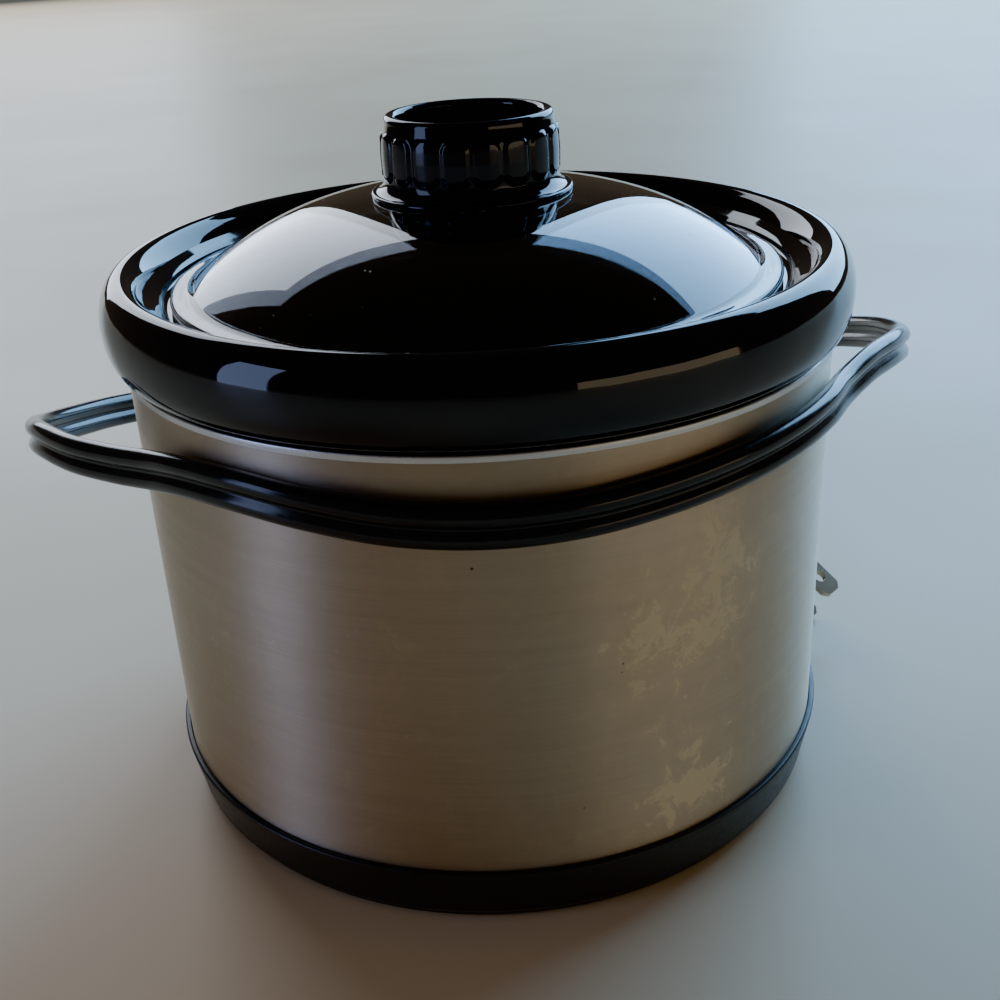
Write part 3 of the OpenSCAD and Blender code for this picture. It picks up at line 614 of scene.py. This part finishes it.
def make_boot(looks):
    """The gland's collar outside the shell and its tapered boot, grooved so that it can bend."""
    y0 = shell_r + FIT
    collar_r, collar_t = 8.5 * MM, 2 * MM
    lock_r, lock_t, lock_gap = 7.5 * MM, 1.6 * MM, 0.8 * MM
    neck_r = 6 * MM
    body_r, plain_tip = 6.6 * MM, 1.6 * MM
    inner = twin_outline(CORD_W + 0.3 * MM, CORD_T + 0.3 * MM, web=0.9)
    tip_t, tip_w = CORD_T / 2 + 0.8 * MM, CORD_W / 2 + 0.8 * MM

    def oval(y, a, b, power=2.0):
        """A ring at y that reaches a along X and b along Z."""
        ring = []
        for p, q in inner:
            t = atan2(q / CORD_W, p / CORD_T)
            ring.append(Vector((a * squarer(cos(t), power), y, GLAND_Z + b * squarer(sin(t), power))))
        return ring

    def slot(y):
        """The cord's own hole at y."""
        return [Vector((p, y, GLAND_Z + q)) for p, q in inner]

    lock_y = shell_in_r - lock_gap
    rings = [slot(lock_y - lock_t), oval(lock_y - lock_t, lock_r - 0.3 * MM, lock_r - 0.3 * MM),
             oval(lock_y - lock_t + 0.3 * MM, lock_r, lock_r), oval(lock_y, lock_r, lock_r),
             oval(lock_y, neck_r, neck_r), oval(y0, neck_r, neck_r), oval(y0, collar_r, collar_r),
             oval(y0 + collar_t - 0.5 * MM, collar_r, collar_r),
             oval(y0 + collar_t - 0.15 * MM, collar_r - 0.15 * MM, collar_r - 0.15 * MM),
             oval(y0 + collar_t, collar_r - 0.5 * MM, collar_r - 0.5 * MM)]
    first, last = y0 + collar_t, boot_tip
    ribs = 6
    # Shares of one rib's length, and how far the skin stands out there in millimetres
    rib = ((0.0, 0.0), (0.06, 0.1), (0.62, 0.1), (0.68, 0.0), (0.72, -0.8), (0.92, -0.8), (0.97, 0.0))
    for i in range(ribs):
        for share, depth in rib:
            t = (i + share) / ribs
            y = first + (last - plain_tip - first) * t
            a = body_r * (1 - t) + tip_t * t + depth * MM * (1 - 0.4 * t)
            b = body_r * (1 - t) + tip_w * t + depth * MM * (1 - 0.4 * t)
            rings.append(oval(y, a, b, 2 + 0.8 * t))
    for back, inset in ((0.5, 0.0), (0.1, 0.15), (0.0, 0.4)):
        rings.append(oval(last - back * MM, tip_t - inset * MM, tip_w - inset * MM, 2.8))
    rings.append(slot(last))
    return place(loft("cord_boot", rings, closed=True), "housing", "strain_relief",
                 looks["relief_rubber"])


# The plug's turn in degrees and its nose's place, length, height and thickness in millimetres
PLUG_TURN = (8, 31.3, -44.5)
PLUG_AT = (75.2, 40, 15.1)
PLUG_LEN, PLUG_H, PLUG_T = 30, 22, 13


def plug_place():
    """The plug's place: its nose's middle at the origin, its tail along -X."""
    x, y, z = (radians(a) for a in PLUG_TURN)
    turn = Matrix.Rotation(z, 4, "Z") @ Matrix.Rotation(y, 4, "Y") @ Matrix.Rotation(x, 4, "X")
    return Matrix.Translation(Vector(PLUG_AT) * MM) @ turn


def make_plug(looks):
    """A moulded plug that tapers to the cord, with a nose rim, grip ribs and a ribbed tail."""
    at = plug_place()
    corners = 40
    nose, tail = 6, 4
    grip_from, grip_pitch, grips = -8.0, 2.2, 5
    rib_from, rib_pitch, ribs = -20.4, 2.6, 3
    tail_h, tail_t = CORD_W / MM + 3, CORD_T / MM + 3

    def section(x, h, t, power):
        """A ring across the plug at x, h high and t thick."""
        ring = []
        for k in range(corners):
            a = 2 * pi * k / corners
            p = t / 2 * squarer(cos(a), power)
            q = h / 2 * squarer(sin(a), power)
            ring.append(at @ Vector((x * MM, p * MM, q * MM)))
        return ring

    def width_at(x):
        """Full at the nose, then a smooth taper to the tail."""
        s = min(1.0, max(0.0, (-x - nose) / (PLUG_LEN - tail - nose)))
        return PLUG_H + (tail_h - PLUG_H) * s, PLUG_T + (tail_t - PLUG_T) * s

    # Each station's x, and how much is added to the full size there
    stations = [(0, -2.0), (-0.15, -1.1), (-0.6, -0.35), (-1.2, 0), (-2.4, 0), (-2.7, -0.35), (-3.1, -0.6),
                (-6, -0.6)]
    for i in range(grips):
        x = grip_from - grip_pitch * i
        stations += [(x, -0.5), (x - 0.35, -0.15), (x - 0.9, -0.15), (x - 1.25, -0.5), (x - 1.5, -1.0),
                     (x - 1.9, -1.0)]
    for i in range(ribs):
        x = rib_from - rib_pitch * i
        stations += [(x, -0.3), (x - 1.5, -0.3), (x - 1.7, -1.5), (x - 2.3, -1.5), (x - 2.5, -0.3)]
    stations += [(-28.6, -0.3), (-29.6, -0.5), (-PLUG_LEN, -1.2)]
    rings = []
    for x, inset in stations:
        h, t = width_at(x)
        rings.append(section(x, h + inset, t + inset, 3.4 - 1.2 * min(1.0, -x / PLUG_LEN)))
    plug = loft("mains_plug", rings)
    return place(plug, "housing", "plug_body", looks["plug_pvc"])


# ---------------------------------------------------------------- crock, lid and knob
# Below 1 the rim's outer lower corner is fuller than an ellipse
RIM_FULL = 0.85


def make_crock(looks):
    """The pot: a foot ring, a tapered wall, a tall rounded rim and the recess that the lid sits in."""
    r = liner_in_r - CROCK_GAP
    foot = r - CROCK_DRAFT
    mouth = r - CROCK_WALL
    floor = crock_z0 + CROCK_FLOOR
    rim_h = rim_z1 - rim_z0
    mid_r, mid_z = rim_r - RIM_W / 2, rim_z0 + rim_h / 2
    seat_r = rim_r - RIM_W - RECESS_WALL
    corner, bowl, ring_w, hollow, small = 7 * MM, 9 * MM, 12 * MM, 1.2 * MM, 0.6 * MM
    lip_r = shell_r - 0.5 * MM
    hollow_r = foot - ring_w - 1.2 * MM
    inner_top = arc(mid_r, mid_z, RIM_W / 2, rim_h / 2, -72, 150, 110)
    x1, z1 = inner_top[-1]
    profile = [(0, crock_z0 + hollow)]
    profile += line((12 * MM, crock_z0 + hollow), (hollow_r, crock_z0 + hollow), 4)
    profile += arc(hollow_r, crock_z0 + hollow - small, small, small, 90, 0, 5)
    profile += arc(foot - ring_w, crock_z0 + small, small, small, 180, 270, 5)
    profile += arc(foot - corner, crock_z0 + corner, corner, corner, -90, 0, 16)
    profile += line((foot, crock_z0 + corner + MM), (r, rim_z0 - 3 * MM), 14)
    profile += arc(r + 2.2 * MM, rim_z0 - 2.4 * MM, 2.2 * MM, 2.4 * MM, 180, 92, 8)
    profile += line((r + 2.6 * MM, rim_z0), (lip_r, rim_z0), 6)
    profile += arc(lip_r, rim_z0 + 0.5 * MM, 0.7 * MM, 0.5 * MM, -90, -30, 4)[1:]
    for r0, z0 in inner_top[4:]:
        c, s = (r0 - mid_r) / (RIM_W / 2), (z0 - mid_z) / (rim_h / 2)
        if c > 0 and s < 0:
            r0, z0 = mid_r + RIM_W / 2 * c ** RIM_FULL, mid_z - rim_h / 2 * (-s) ** RIM_FULL
        profile.append((r0, z0))
    profile += line((x1, z1), (seat_r + 0.3 * MM, seat_z + 1.9 * MM), 6)[1:]
    profile += arc(seat_r - 1.5 * MM, seat_z + 1.6 * MM, 1.5 * MM, 1.6 * MM, 0, -90, 10)
    profile += line((seat_r - 2 * MM, seat_z), (mouth + 2.4 * MM, seat_z), 5)
    profile += arc(mouth + 2 * MM, seat_z - 2 * MM, 2 * MM, 2 * MM, 90, 180, 12)
    inner_foot = foot - CROCK_WALL
    profile += line((mouth, seat_z - 3 * MM), (inner_foot, floor + bowl), 14)
    profile += arc(inner_foot - bowl, floor + bowl, bowl, bowl, 0, -90, 18)
    profile += line((inner_foot - bowl - MM, floor), (6 * MM, floor), 5) + [(0, floor)]

    def uneven(a, r0, z0):
        """The glaze makes a thrown rim very slightly out of true."""
        share = min(1.0, max(0.0, (z0 - rim_z0) / (6 * MM)))
        bump = 0.05 * sin(3 * a + 0.7) + 0.035 * sin(7 * a + 2.1) + 0.02 * sin(13 * a + 4.0)
        side = 1 if r0 > mid_r else -0.6
        return r0 - (0.105 + bump) * MM * share * side, z0 - 0.03 * MM * share * (1 + sin(5 * a))

    crock = lathe("stoneware_crock", profile, 360, shift=uneven)
    return place(crock, "crock", "crock", looks["crock_glaze"])


def dome_z(r):
    """The height of the lid's upper face at a radius."""
    rise = apex_z - lid_z
    return apex_z - (rise - LID_EDGE) * (r / dome_r) ** DOME_POWER


def make_lid(looks):
    """The glass: a dome with a flat round-edged skirt, holed in the middle for the knob's screw."""
    hole = 2.5 * MM
    edge = LID_EDGE / 2
    steps, blend_steps = 90, 8
    blend = 0.9 * MM
    join_r = dome_r + blend
    over = [hole + (dome_r - blend - hole) * (i / steps) ** 0.8 for i in range(steps + 1)]
    profile = [(r, dome_z(r)) for r in over]
    # The dome runs into the flat edge through a small round
    x0, z0 = profile[-1]
    flat_z = lid_z + LID_EDGE
    for i in range(1, blend_steps):
        t = i / blend_steps
        profile.append(((1 - t) ** 2 * x0 + 2 * t * (1 - t) * dome_r + t * t * join_r,
                        (1 - t) ** 2 * z0 + 2 * t * (1 - t) * flat_z + t * t * flat_z))
    profile += line((join_r, flat_z), (lid_r - edge, flat_z), 3)
    profile += arc(lid_r - edge, lid_z + edge, edge, edge, 90, -90, 20)
    under_r = dome_r - 2 * MM
    under = [hole + (under_r - hole) * (1 - i / steps) for i in range(steps + 1)]
    profile += [(r, max(lid_z, dome_z(r) - LID_T)) for r in under]
    lid = lathe("glass_lid", profile, 300, closed=True)
    return place(lid, "lid", "lid", looks["lid_glass"])


def make_knob(looks):
    """The knob: a hollow cup with round-ended lands between shallow grooves, on a flared foot."""
    lip_r = knob_r - 1.1 * MM
    lip = KNOB_WALL / 2
    core_r = knob_r - 0.5 * MM
    floor = knob_z0 + KNOB_FLOOR
    hole = 2.05 * MM
    edge = 0.4 * MM
    hole_top, flat_r = knob_z0 + 2.2 * MM, 11 * MM
    edge_z = dome_z(knob_foot_r - edge) + FIT + edge
    flare_top = knob_z0 + 2.6 * MM
    flare = knob_foot_r - 0.35 * MM - core_r
    belly_r, belly_z = core_r + 0.08 * MM, knob_z0 + 6.5 * MM
    neck_r, neck_z = core_r - 0.1 * MM, knob_top - 4 * MM
    under_r = knob_foot_r - 2 * edge
    profile = [(0, hole_top), (hole, hole_top), (hole, knob_z0)]
    profile += line((hole + 0.5 * MM, knob_z0), (flat_r, knob_z0), 4)
    profile += line((flat_r, knob_z0), (under_r, dome_z(under_r) + FIT), 5)
    profile += arc(knob_foot_r - edge, edge_z, edge, edge, -80, 75, 8)
    profile += arc(core_r + flare, flare_top, flare, flare_top - edge_z - edge, 266, 180, 16)
    profile += line((core_r, flare_top + 0.2 * MM), (belly_r, belly_z), 18)
    profile += line((belly_r, belly_z), (neck_r, neck_z), 18)
    profile += line((neck_r, neck_z), (lip_r, knob_top - lip - 0.1 * MM), 10)
    profile += arc(lip_r - lip, knob_top - lip, lip, lip, 0, 180, 22)
    inner = core_r - KNOB_WALL
    profile += line((lip_r - 2 * lip, knob_top - lip - 0.2 * MM), (inner, floor + 1.8 * MM), 12)
    bowl = 1.6 * MM
    profile += arc(inner - bowl, floor + bowl, bowl, bowl, 0, -90, 8)
    profile += line((inner - 2.2 * MM, floor), (2 * MM, floor), 5) + [(0, floor)]

    # A land's half width, the width of its soft edge, how far it stands out and its crown
    half, soft, proud, crown_h = 2.45 * MM, 0.5 * MM, 0.4 * MM, 0.08 * MM
    z_low, z_high = flare_top - 0.5 * MM, knob_top - 2.9 * MM
    pitch = 2 * pi / FLUTES

    def with_lands(a, r0, z0):
        """Raises the outside of the core where a land is, with a smooth step at its edge."""
        if r0 < core_r - 0.6 * MM or not z_low < z0 < z_high:
            return r0, z0
        across = ((a + pitch / 2) % pitch - pitch / 2) * core_r
        beyond = max(0.0, z_low + half - z0, z0 - (z_high - half))
        far = sqrt(across ** 2 + beyond ** 2)
        t = min(1.0, max(0.0, (half + soft - far) / (2 * soft)))
        crown = crown_h * max(0.0, 1 - (far / half) ** 2)
        return r0 + proud * t * t * (3 - 2 * t) + crown, z0

    knob = lathe("fluted_knob", profile, FLUTES * 28, shift=with_lands, sharp=60)
    return place(knob, "lid", "lid_knob", looks["knob_plastic"])


# ---------------------------------------------------------------- housing
def make_liner(looks):
    """The heated well: a pan with pressed rings and a flange that is rolled over the shell's edge."""
    pan = liner_low.z
    corner, hem, hem_h = 4 * MM, hem_r - shell_r - FIT, 0.8 * MM
    inner = corner - LINER_T
    profile = [(0, pan)] + line((4 * MM, pan), (liner_r - corner - MM, pan), 8)
    profile += arc(liner_r - corner, pan + corner, corner, corner, -90, 0, 12)
    profile += line((liner_r, pan + corner + MM), (liner_r, shell_z1), 4)
    profile += [(liner_r, shell_z1), (hem_r - hem, shell_z1), (hem_r - hem, shell_z1 - hem_h)]
    profile += arc(hem_r - hem / 2, shell_z1 - hem_h + 0.15 * MM, hem / 2, 0.15 * MM, -150, -10, 5)
    profile += arc(hem_r - 0.4 * MM, flange_z - 0.4 * MM, 0.4 * MM, 0.4 * MM, 0, 90, 8)
    profile += arc(liner_in_r + 0.5 * MM, flange_z - 0.5 * MM, 0.5 * MM, 0.5 * MM, 90, 180, 6)
    profile += line((liner_in_r, flange_z - MM), (liner_in_r, pan + corner), 10)
    profile += arc(liner_r - corner, pan + corner, inner, inner, 0, -90, 12)
    for ring_r in (46 * MM, 28 * MM):
        profile += arc(ring_r, pan + LINER_T, 1.6 * MM, -0.35 * MM, 0, 180, 10)
    profile += [(0, pan + LINER_T)]
    liner = lathe("heating_well", profile, 256)
    return place(liner, "housing", "heating_liner", looks["liner_aluminium"])


def make_shell(looks):
    """The steel tube with the gland's hole, and normals that keep it truly round about the hole."""
    edge, gland_hole_r = 0.2 * MM, 6.1 * MM
    profile = [(shell_r - edge, shell_z0), (shell_r, shell_z0 + edge)]
    profile += line((shell_r, shell_z0 + MM), (shell_r, shell_z1 - edge), 24)
    profile += [(shell_r, shell_z1 - edge), (shell_r - edge, shell_z1), (shell_in_r, shell_z1)]
    profile += line((shell_in_r, shell_z1 - MM), (shell_in_r, shell_z0), 4) + [(shell_in_r, shell_z0)]
    shell = lathe("brushed_shell", profile, 360, closed=True)
    bpy.ops.mesh.primitive_cylinder_add(vertices=64, radius=gland_hole_r, depth=14 * MM,
                                        location=(0, shell_r - 3 * MM, GLAND_Z), rotation=(pi / 2, 0, 0))
    cut(shell, [bpy.context.active_object])
    normals = []
    for poly in shell.data.polygons:
        for i in poly.loop_indices:
            co = shell.data.vertices[shell.data.loops[i].vertex_index].co
            outward = Vector((co.x, co.y, 0)).normalized()
            facing = poly.normal.dot(outward)
            on_wall = abs(poly.normal.z) < 0.2 and abs(facing) > 0.9
            normals.append(outward * copysign(1, facing) if on_wall else poly.normal.copy())
    shell.data.normals_split_custom_set([tuple(n) for n in normals])
    return place(shell, "housing", "outer_shell", looks["shell_steel"])


def make_base(looks):
    """The moulded base: a lip round the shell, a crease low on its side, a nut recess, foot seats."""
    crease_r, crease_z = base_r - 1.8 * MM, 3.6 * MM
    low_r = crease_r - 1.3 * MM
    inner_r = shell_in_r - 2.4 * MM
    floor_in = base_z0 + 2.2 * MM
    recess_r, recess_top = 7 * MM, base_z0 + 5 * MM
    boss_r, boss_top = recess_r + 2.2 * MM, base_z1
    ledge_r = shell_r + FIT
    hole = 2.2 * MM
    edge, small, bowl = 0.5 * MM, 0.4 * MM, 1.5 * MM
    lip_z = BASE_LIP_Z
    profile = [(hole, recess_top), (recess_r - small, recess_top), (recess_r, recess_top - small),
               (recess_r, base_z0 + small), (recess_r + small, base_z0)]
    profile += line((recess_r + MM, base_z0), (low_r - 1.2 * MM, base_z0), 10)
    profile += arc(low_r - MM, base_z0 + MM, MM, MM, -90, -8, 6)
    profile += line((low_r + 0.06 * MM, base_z0 + 1.2 * MM),
                    (crease_r - 0.12 * MM, crease_z - 0.25 * MM), 3)
    profile += arc(crease_r - edge, crease_z + 0.1 * MM, edge, edge, -45, 5, 4)
    profile += line((crease_r + 0.05 * MM, crease_z + 0.6 * MM),
                    (base_r - 0.02 * MM, lip_z - edge - 0.2 * MM), 8)
    profile += arc(base_r - edge, lip_z - edge, edge, edge, 0, 90, 8)
    profile += [(ledge_r + 0.2 * MM, lip_z), (ledge_r, lip_z - 0.2 * MM), (ledge_r, shell_z0),
                (inner_r, shell_z0)]
    profile += line((inner_r, shell_z0 - 0.5 * MM), (inner_r, floor_in + bowl), 3)
    profile += arc(inner_r - bowl, floor_in + bowl, bowl, bowl, 0, -90, 6)
    profile += line((inner_r - 2.5 * MM, floor_in), (boss_r, floor_in), 6)
    profile += [(boss_r, floor_in), (boss_r, boss_top - small), (boss_r - small, boss_top),
                (hole, boss_top)]
    base = lathe("moulded_base", profile, 300, closed=True)
    cutters = []
    for x, y in ((1, 1), (1, -1), (-1, 1), (-1, -1)):
        bpy.ops.mesh.primitive_cylinder_add(vertices=72, radius=foot_r + FIT, depth=2 * MM,
                                            location=(x * foot_x, y * foot_x, base_z0))
        cutters.append(bpy.context.active_object)
    cut(base, cutters)
    return place(base, "housing", "base", looks["base_plastic"])


def make_feet(looks):
    """Four stick-on rubber feet, each with a round edge and a shallow dish."""
    top, edge = foot_high.z, 0.45 * MM
    profile = [(0, 0.25 * MM), (foot_r * 0.55, 0.2 * MM), (foot_r * 0.7, 0.0)]
    profile += arc(foot_r - edge, edge, edge, edge, -90, 0, 8)
    profile += [(foot_r, top - 0.3 * MM), (foot_r - 0.2 * MM, top), (0, top)]
    for i in range(1, 5):
        low, high = box("foot_%d" % i)
        middle = (low + high) / 2
        foot = lathe("rubber_foot_%d" % i, profile, 96)
        foot.data.transform(Matrix.Translation((middle.x, middle.y, 0)))
        place(foot, "housing", "foot_%d" % i, looks["foot_rubber"])


def dress_cad_nodes(looks):
    """Every CAD node gets its slot's material."""
    slots = {part["node"]: part["material_slot"] for part in frame["record"]["subparts"]}
    for name, obj in frame["nodes"].items():
        obj.data.materials.clear()
        obj.data.materials.append(looks[slots[name]])


# ---------------------------------------------------------------- studio
# Each light's name, azimuth and elevation in degrees, distance, width, height, watts and colour
SEEN_LIGHTS = (
    ("window_right", 36, 24, 3.2, 2.6, 2.3, 215, (0.31, 0.61, 1.0)),
    ("window_left", -25, 22, 3.2, 1.5, 2.2, 62, (0.80, 0.88, 1.0)),
    ("card_left", -112, 8, 1.6, 0.45, 1.3, 8, (0.42, 0.55, 1.0)),
    ("card_right", 130, 2, 2.4, 2.2, 0.5, 6, (1.0, 0.80, 0.55)))
FILL_LIGHT = ("fill_front", 165, 45, 2.2, 1.6, 1.0, 3, (1.0, 0.90, 0.78))
LIGHT_AIM = (0, 0, 0.09)
WORLD_COLOR, WORLD_STRENGTH = (0.85, 0.67, 0.48), 0.13
FLOOR_COLOR, FLOOR_HALF = (0.80, 0.63, 0.43), 6.0
EXPOSURE = 0.2


def make_floor():
    """A plain pale floor that the feet stand on."""
    half = FLOOR_HALF
    floor = mesh_object("floor", [(-half, -half, 0), (half, -half, 0), (half, half, 0), (-half, half, 0)],
                        [[0, 1, 2, 3]])
    m = Look("floor_pale", FLOOR_COLOR, 0.42, IOR=1.45)
    m.set("Roughness", m.step(m.noise(6.0, 3), 0.3, 0.7, 0.38, 0.46))
    floor.data.materials.append(m.material)


def make_softbox(name, azimuth, elevation, distance, width, height, watts, color, seen=True):
    """A rectangular soft light aimed at the cooker from an azimuth: 0 is behind it, 90 is its right.
    Unless it is seen, it makes no reflection."""
    data = bpy.data.lights.new(name, "AREA")
    data.shape = "RECTANGLE"
    data.size, data.size_y = width, height
    data.energy = watts
    data.color = color
    light = bpy.data.objects.new(name, data)
    SCENE.collection.objects.link(light)
    a, e = radians(azimuth), radians(elevation)
    ray = Vector((sin(a) * cos(e), cos(a) * cos(e), sin(e)))
    light.location = Vector(LIGHT_AIM) + ray * distance
    light.rotation_euler = ray.to_track_quat("Z", "Y").to_euler()
    light.visible_camera = False
    light.visible_glossy = seen


def make_studio():
    """The floor, a dim warm world, two large soft windows, two low cards and a weak fill."""
    make_floor()
    world = bpy.data.worlds.new("studio")
    SCENE.world = world
    world.use_nodes = True
    back = world.node_tree.nodes["Background"]
    back.inputs["Color"].default_value = (*WORLD_COLOR, 1)
    back.inputs["Strength"].default_value = WORLD_STRENGTH
    for light in SEEN_LIGHTS:
        make_softbox(*light)
    make_softbox(*FILL_LIGHT, seen=False)
    SCENE.view_settings.look = "AgX - Punchy"
    SCENE.view_settings.exposure = EXPOSURE


# ---------------------------------------------------------------- making it all
make_camera()
looks = make_looks()
dress_cad_nodes(looks)
cord, cord_path = make_cord(looks)
boot = make_boot(looks)
plug = make_plug(looks)
make_crock(looks)
make_lid(looks)
make_knob(looks)
make_liner(looks)
make_shell(looks)
make_base(looks)
make_feet(looks)
make_studio()
